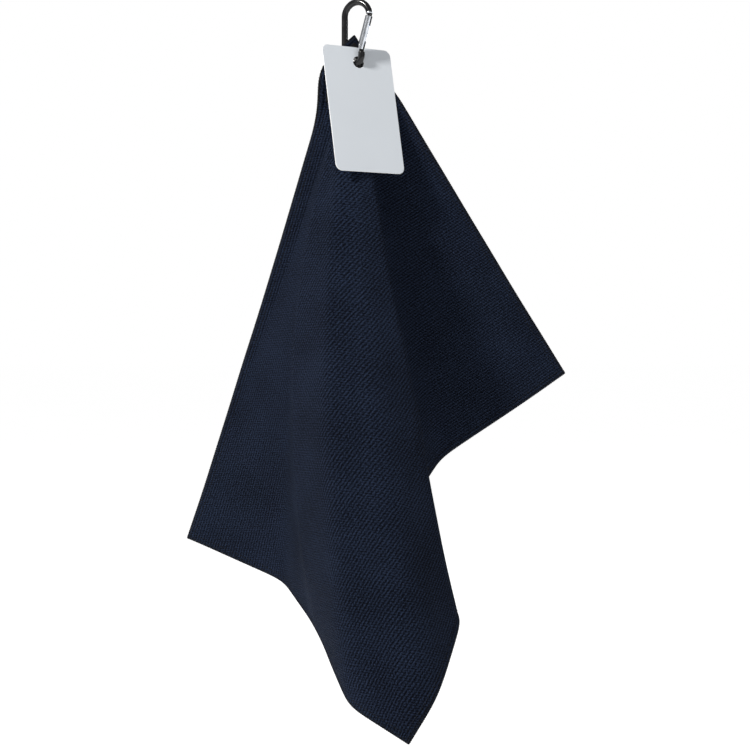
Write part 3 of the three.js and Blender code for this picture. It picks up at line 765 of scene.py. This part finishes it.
# Half width and half height of the rolled edge, leaving room for the thread round it.
HEM_ROLL = (HEM_WIDTH / 2 - 0.25, HEM_THICK / 2 - 0.3)


def hem_ring(side, along, turn, grow=0.0):
    """Points on the rolled edge: turn goes round it, grow lifts them off it."""
    across = HEM_WIDTH / 2 + (HEM_ROLL[0] + grow) * np.cos(turn)
    height = (HEM_ROLL[1] + grow) * np.sin(turn)
    return cloth_point(*hem_places(side, along, across), height)


def make_hem(side):
    length = SIDES[side]
    along = np.linspace(0.6, length - 0.6, round(length / 1.5))[:, None]
    sides = 18
    turn = (np.arange(sides) / sides * 2 * math.pi)[None, :]
    points = hem_ring(side, along, turn).reshape(-1, 3)
    count = len(along)
    faces = []
    for i in range(count - 1):
        for k in range(sides):
            m = (k + 1) % sides
            faces.append((i * sides + k, i * sides + m, (i + 1) * sides + m, (i + 1) * sides + k))
    faces.append(tuple(reversed(range(sides))))
    faces.append(tuple((count - 1) * sides + k for k in range(sides)))
    if side in ("top_right", "bottom_left"):
        faces = [face[::-1] for face in faces]
    return mesh_object("hem_" + side + "_roll", points, faces)


def make_overlock(side):
    """One thread wound round the edge, as an overlock seam."""
    length = SIDES[side]
    per_turn = 12
    turns = (length - 2) / THREAD_PITCH
    turn = np.arange(0, turns * per_turn + 1) / per_turn * 2 * math.pi
    sway = 0.12 * np.sin(turn / 2.7) + 0.1 * np.sin(turn / 7.3 + 1)
    along = 1 + turn / (2 * math.pi) * THREAD_PITCH + 0.5 * THREAD_PITCH * np.sin(turn) + sway
    centres = hem_ring(side, along, turn, 0.05)
    outward = hem_ring(side, along, turn, 0.6) - centres
    points, faces = tube(centres, outward, THREAD_D / 2 * MM, 6)
    return mesh_object("overlock_" + side, points, faces)


# One stitch: places along it, and how thick it is there, as shares of its length and width.
BEAD = np.array([-0.5, -0.32, 0.0, 0.32, 0.5])
BEAD_WIDTH = np.array([0.35, 0.85, 1.0, 0.85, 0.35])


def make_stitches():
    """One row of straight stitches on each face, just inside the hem."""
    parts = []
    for side, length in SIDES.items():
        for face in (-1, 1):
            start = STITCH_IN + 1
            for place in np.arange(start, length - start, STITCH_PITCH):
                along = place + STITCH_LENGTH * BEAD
                height = face * (CLOTH_THICK / 2 * 0.62 + 0.14 * (1 - (2 * BEAD) ** 2))
                centres = cloth_point(*hem_places(side, along, STITCH_IN), height)
                lifted = cloth_point(*hem_places(side, along, STITCH_IN), height + face)
                parts.append(tube(centres, lifted - centres, STITCH_D / 2 * MM * BEAD_WIDTH, 6))
    points, faces = joined(parts)
    return mesh_object("hem_stitches", points, faces)


def make_patch(name, face):
    """Three-cornered patch of plain black fabric round the eyelet."""
    leg, across = np.meshgrid(np.linspace(0.02, 1, 46), np.linspace(0, 1, 61), indexing="ij")
    a = INSET + PATCH_LEG * leg * (1 - across)
    b = INSET + PATCH_LEG * leg * across
    centre_a = (a[:-1, :-1] + a[1:, 1:]) / 2 - EYE_INSET
    centre_b = (b[:-1, :-1] + b[1:, 1:]) / 2 - EYE_INSET
    keep = np.hypot(centre_a, centre_b) > EYE_BORE / 2 + EYE_WALL
    near = CLOTH_THICK / 2 + 0.02
    far = near + PATCH_THICK * (0.45 + 0.55 * (1 - smoothstep(leg, 0.95, 1)))
    low, high = (near, far) if face > 0 else (-far, -near)
    patch = sheet_mesh(name, a, b, low + 0 * a, high + 0 * a, keep)
    return dress(patch, patch_paint_shared)


def make_patch_stitches():
    """The seam that holds both patches down along their long edge."""
    parts = []
    seam = PATCH_LEG - 2.5
    count = round(seam * math.sqrt(2) / STITCH_PITCH)
    for face in (-1, 1):
        for i in range(count):
            share = (i + 0.5) / count + BEAD * STITCH_LENGTH / (seam * math.sqrt(2))
            a = INSET + seam * (1 - share)
            b = INSET + seam * share
            top = CLOTH_THICK / 2 + PATCH_THICK
            height = face * (top - 0.05 + 0.14 * (1 - (2 * BEAD) ** 2))
            centres = cloth_point(a, b, height)
            lifted = cloth_point(a, b, height + face)
            parts.append(tube(centres, lifted - centres, STITCH_D / 2 * MM * BEAD_WIDTH, 6))
    points, faces = joined(parts)
    return mesh_object("patch_stitches", points, faces)


def on_corner(piece):
    """Turns a piece drawn about Z onto the hanging corner, its +Z towards the viewer."""
    normal = Vector(CORNER_NORMAL)
    turn = Vector((0, 0, 1)).rotation_difference(normal).to_matrix().to_4x4()
    return turned(piece, Matrix.Translation(Vector(EYE_POS) * MM) @ turn)


def rolled(inner, outer, low, high, crown):
    """Profile of a pressed ring: flat under, crowned on top."""
    middle, half = (inner + outer) / 2, (outer - inner) / 2
    turn = np.radians(np.arange(0, 181, 15))
    top = [(middle + half * math.cos(t), high - crown + crown * math.sin(t)) for t in turn]
    return [(inner, low), (outer, low), *top]


def make_eyelet():
    bore, outer = EYE_BORE / 2, EYE_BORE / 2 + EYE_WALL
    seat = CLOTH_THICK / 2 + PATCH_GAP + PATCH_THICK + EYE_GAP
    top = seat + FLANGE_THICK
    flange = rolled(bore, FLANGE_D / 2, seat - 0.2, top, 0.55)
    barrel = [(bore, -top + 0.1), (outer, -top + 0.1), (outer, top - 0.3), (bore, top - 0.3)]
    back = [(r, -z) for r, z in rolled(bore, FLANGE_D / 2, seat - 0.2, top, 0.5)][::-1]
    pieces = []
    profiles = {"eyelet_front": flange, "eyelet_barrel_fine": barrel, "eyelet_back": back}
    for name, profile in profiles.items():
        piece = on_corner(lathe(name, profile, 72))
        pieces.append(sharpen(dress(piece, black_metal), 40))
    return pieces


def make_towel():
    cloth = make_cloth()
    hems = [dress(make_hem(side), hem_thread) for side in SIDES]
    overlocks = [dress(make_overlock(side), hem_thread) for side in SIDES]
    stitches = dress(make_stitches(), hem_thread)
    patches = [make_patch("patch_front_fine", 1), make_patch("patch_back_fine", -1)]
    seam = dress(make_patch_stitches(), hem_thread)
    eyelet = make_eyelet()
    ride_all([cloth], "towel", "microfibre", "towel_cloth")
    for hem, side in zip(hems, SIDES):
        ride_all([hem], "towel", "hem_thread", "hem_" + side)
    ride_all([*overlocks, stitches, seam], "towel", "hem_thread")
    ride_all([patches[0]], "towel", "patch_fabric", "corner_patch_front")
    ride_all([patches[1]], "towel", "patch_fabric", "corner_patch_back")
    ride_all(eyelet[:2], "towel", "black_metal", "eyelet_barrel")
    ride_all(eyelet[2:], "towel", "black_metal", "eyelet_washer")


# ---- carabiner, drawn in its own XZ plane and then turned about Z ----

top_bend_r = (RING_WIDTH - ROD_D) / 2
top_bend_z = ROD_D / 2 - top_bend_r
low_bend_x = LOW_BEND_R - top_bend_r
low_bend_z = ROD_D * 1.5 - RING_HEIGHT + LOW_BEND_R
leg_x = low_bend_x + LOW_BEND_R
leg_top_z = low_bend_z + LEG_LENGTH
hinge = np.array([leg_x, leg_top_z + HINGE_RISE])


def on_top_bend(degrees, radius=top_bend_r):
    turn = math.radians(degrees)
    return np.array([radius * math.cos(turn), top_bend_z + radius * math.sin(turn)])


nose_end = on_top_bend(NOSE_CUT)
gate_axis = unit(nose_end - hinge)
gate_side = np.array([gate_axis[1], -gate_axis[0]])
swept_r = np.linalg.norm(on_top_bend(NOSE_CUT, top_bend_r - ROD_D / 2) - hinge) - GATE_TOP_CLEAR
gate_length = math.sqrt(swept_r**2 - (GATE_D / 2) ** 2)
pin_at = gate_length - PIN_FROM_TOP


def gate_point(up, out):
    return tuple(hinge + gate_axis * up + gate_side * out)


def on_ring(piece):
    return turned(piece, Matrix.Rotation(math.radians(RING_YAW), 4, "Z"))


def on_gate(piece):
    lean = math.atan2(gate_axis[0], gate_axis[1])
    place = Matrix.Translation(Vector((hinge[0], 0, hinge[1])) * MM)
    return on_ring(turned(piece, place @ Matrix.Rotation(lean, 4, "Y")))


def rod_line():
    """Centre line from the nose over the top, down the spine and round to the hinge leg."""
    bend = [on_top_bend(d) for d in np.linspace(NOSE_CUT, 180, 72)]
    spine = [np.array([-top_bend_r, z]) for z in np.linspace(top_bend_z, low_bend_z, 16)[1:-1]]
    turn = np.radians(np.linspace(180, 360, 56))
    bottom = [np.array([low_bend_x + LOW_BEND_R * math.cos(t), low_bend_z + LOW_BEND_R * math.sin(t)])
              for t in turn]
    leg = [np.array([leg_x, z]) for z in np.linspace(low_bend_z, leg_top_z, 5)[1:]]
    line = np.array([*bend, *spine, *bottom, *leg])
    return np.stack([line[:, 0], np.zeros(len(line)), line[:, 1]], 1)


def make_rod():
    line = rod_line()
    # Both cut ends are rounded over.
    steps = np.concatenate([[0], np.cumsum(np.linalg.norm(np.diff(line, axis=0), axis=1))])
    from_end = np.minimum(steps, steps[-1] - steps)
    round_over = 0.45
    dip = np.clip(1 - from_end / round_over, 0, 1)
    radius = ROD_D / 2 - round_over * (1 - np.sqrt(1 - dip**2))
    outward = np.tile([0.0, 1.0, 0.0], (len(line), 1))
    points, faces = tube(line * MM, outward, radius * MM, 48)
    return sharpen(on_ring(mesh_object("carabiner_rod", points, faces)), 50)


def make_nose():
    inner, outer = -TANG_WIDTH * TANG_INNER, TANG_WIDTH * (1 - TANG_INNER)
    notch_top = pin_at + PIN_D / 2 + NOTCH_CLEAR
    notch_low = notch_top - NOTCH_HEIGHT
    wall = PIN_D / 2 + GAP
    outline = [
        gate_point(gate_length + 2, inner),
        gate_point(notch_top, inner),
        gate_point(notch_top, wall),
        gate_point(notch_low, wall),
        gate_point(notch_low, inner),
        gate_point(notch_low - HOOK_HEIGHT, inner),
        gate_point(notch_low - HOOK_HEIGHT, outer),
        gate_point(gate_length + 2, outer),
    ]
    return on_ring(bevelled(plate("nose_tang", outline, TANG_THICK), 0.18))


def make_hinge_tang():
    outline = [(leg_x - TANG_WIDTH / 2, leg_top_z - 1), (leg_x + TANG_WIDTH / 2, leg_top_z - 1)]
    for degrees in range(75, -106, -10):
        share = min(max(-degrees / CAM_TURN, 0), 1)
        back = min(max((-degrees - 60) / 45, 0), 1)
        radius = CAM_R[0] + (CAM_R[1] - CAM_R[0]) * (share - back)
        turn = math.radians(degrees)
        outline.append(gate_point(radius * math.cos(turn), radius * math.sin(turn)))
    return on_ring(bevelled(plate("hinge_tang", outline, TANG_THICK), 0.15))


def make_nose_band():
    """Bare metal ring on the nose, where the coating is left off above the gate."""
    length, wall = 1.5, 0.06
    profile = [(ROD_D / 2 - 0.1, 0), (ROD_D / 2 + wall, 0.15), (ROD_D / 2 + wall, length - 0.15),
               (ROD_D / 2 - 0.1, length)]
    band = lathe("nose_band", profile, 48)
    middle = on_top_bend(NOSE_CUT + 2)
    return on_ring(turned(band, Matrix.Translation(Vector((middle[0], 0, middle[1])) * MM)))


def make_gate():
    length = gate_length
    wall, slot = GATE_D / 2, GATE_SLOT / 2
    edge = 0.3
    tube_profile = [
        (wall - edge, -GATE_BELOW),
        (wall, -GATE_BELOW + edge),
        (wall, length - edge),
        (wall - edge, length),
    ]
    gate = lathe("gate_tube", tube_profile, 64, closed=False)
    bore_r = GATE_BORE / 2
    bore_end = length - TOP_SLOT - BORE_PAST_SLOT
    bore = lathe("cutter", [(bore_r, -GATE_BELOW - 1), (bore_r, bore_end)], 48, closed=False)
    slots = [
        box_piece((-wall - 1, -slot, -GATE_BELOW - 1), (wall + 1, slot, LOW_SLOT)),
        box_piece((-wall - 1, -slot, length - TOP_SLOT), (wall + 1, slot, length + 1)),
    ]
    carve(gate, [bore, *slots])
    gate.data.polygons.foreach_set("use_smooth", [True] * len(gate.data.polygons))
    return on_gate(sharpen(gate, 30))


def domed_pin(name, radius, half_length, head_radius=None, head=0.0):
    """A pin along Y, with a domed head on each end where it has one."""
    if head_radius is None:
        head_radius, head = radius, radius * 0.25
    turn = np.radians(np.arange(0, 91, 15))
    cap = [(head_radius * math.cos(t), half_length + head * math.sin(t)) for t in turn]
    cap[-1] = (0.02, cap[-1][1])
    upper = [(radius, half_length - 0.05), *cap]
    lower = [(r, -z) for r, z in upper][::-1]
    return along_y(lathe(name, [*lower, *upper], 32, closed=False))


def make_carabiner():
    rod = [dress(piece, black_metal) for piece in (make_rod(), make_nose(), make_hinge_tang())]
    band = dress(make_nose_band(), bright_paint_shared)
    gate = dress(make_gate(), bright_paint_shared)
    head_at = GATE_D / 2 + RIVET_SHAKE
    rivet = domed_pin("gate_rivet_domed", RIVET_D / 2, head_at, RIVET_HEAD_D / 2, RIVET_HEAD)
    rivet = on_gate(rivet)
    pin = domed_pin("nose_pin_fine", PIN_D / 2, GATE_D / 2 - 0.2)
    pin = on_gate(turned(pin, Matrix.Translation((0, 0, pin_at * MM))))
    for piece in (rivet, pin):
        dress(piece, steel_paint_shared)
    for node in ("gate_plunger", "gate_spring"):
        dress(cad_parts[node], steel_paint_shared)
    ride_all(rod, "carabiner", "black_metal", "carabiner_frame")
    ride_all([band], "carabiner", "bright_metal")
    ride_all([rivet], "carabiner", "steel", "gate_pivot_rivet")
    ride_all([gate], "gate", "bright_metal", "carabiner_gate")
    ride_all([pin], "gate", "steel", "gate_nose_pin")


# ---- tag ----


def rounded_outline(left, right, bottom, top, radius):
    points = []
    for x, z, start in ((right - radius, bottom + radius, -90), (right - radius, top - radius, 0),
                        (left + radius, top - radius, 90), (left + radius, bottom + radius, 180)):
        for degrees in range(start, start + 91, 6):
            turn = math.radians(degrees)
            points.append((x + radius * math.cos(turn), z + radius * math.sin(turn)))
    return points


def make_tag():
    """White card with rounded corners, a punched hole and slightly rounded cut edges."""
    left = -TAG_WIDTH / 2 - TAG_HOLE_RIGHT
    top = TAG_HOLE_DOWN
    outline = rounded_outline(left, left + TAG_WIDTH, top - TAG_HEIGHT, top, TAG_CORNER)
    hole_turn = np.arange(48) / 48 * 2 * math.pi
    hole = [(TAG_HOLE_D / 2 * math.cos(t), TAG_HOLE_D / 2 * math.sin(t)) for t in hole_turn]
    edge = 0.1
    curve = bpy.data.curves.new("tag", "CURVE")
    curve.dimensions = "2D"
    curve.fill_mode = "BOTH"
    for ring in (outline, hole):
        spline = curve.splines.new("POLY")
        spline.points.add(len(ring) - 1)
        for point, (x, z) in zip(spline.points, ring):
            point.co = (x * MM, z * MM, 0, 1)
        spline.use_cyclic_u = True
    curve.extrude = (TAG_THICK / 2 - edge) * MM
    curve.bevel_depth = edge * MM
    curve.bevel_resolution = 2
    curve.offset = -edge * MM
    holder = bpy.data.objects.new("tag_curve", curve)
    bpy.context.scene.collection.objects.link(holder)
    bpy.context.view_layer.update()
    graph = bpy.context.evaluated_depsgraph_get()
    mesh = bpy.data.meshes.new_from_object(holder.evaluated_get(graph))
    bpy.data.objects.remove(holder)
    tag = bpy.data.objects.new("hang_tag_card", mesh)
    bpy.context.scene.collection.objects.link(tag)
    dress(tag, card_paint(), card_edge_highlight_paint())
    # The flat faces take the card paint; the cut edges take the brighter paint, a painted highlight.
    for face in mesh.polygons:
        face.material_index = 0 if abs(face.normal.z) > 0.9 else 1
    upright = Matrix.Rotation(math.pi / 2, 4, "X")
    lean = Matrix.Rotation(math.radians(-TAG_PITCH), 4, "X")
    yaw_turn = Matrix.Rotation(math.radians(TAG_YAW), 4, "Z")
    turned(tag, Matrix.Translation(Vector(TAG_POS) * MM) @ yaw_turn @ lean @ upright)
    ride_all([tag], "hang_tag", "card", "hang_tag")


hem_thread = thread_paint("dark_overlock_thread", (0.0020, 0.0021, 0.0028), (0.0110, 0.0115, 0.0135))
patch_paint_shared = patch_paint()
black_metal = black_metal_paint()
bright_paint_shared = bright_metal_paint(
    "silver_gate_metal", (0.55, 0.58, 0.63), (0.80, 0.83, 0.88), 0.2)
steel_paint_shared = bright_metal_paint("plain_steel", (0.28, 0.29, 0.31), (0.46, 0.47, 0.49), 0.3)

make_camera()
make_stage()
make_towel()
make_carabiner()
make_tag()
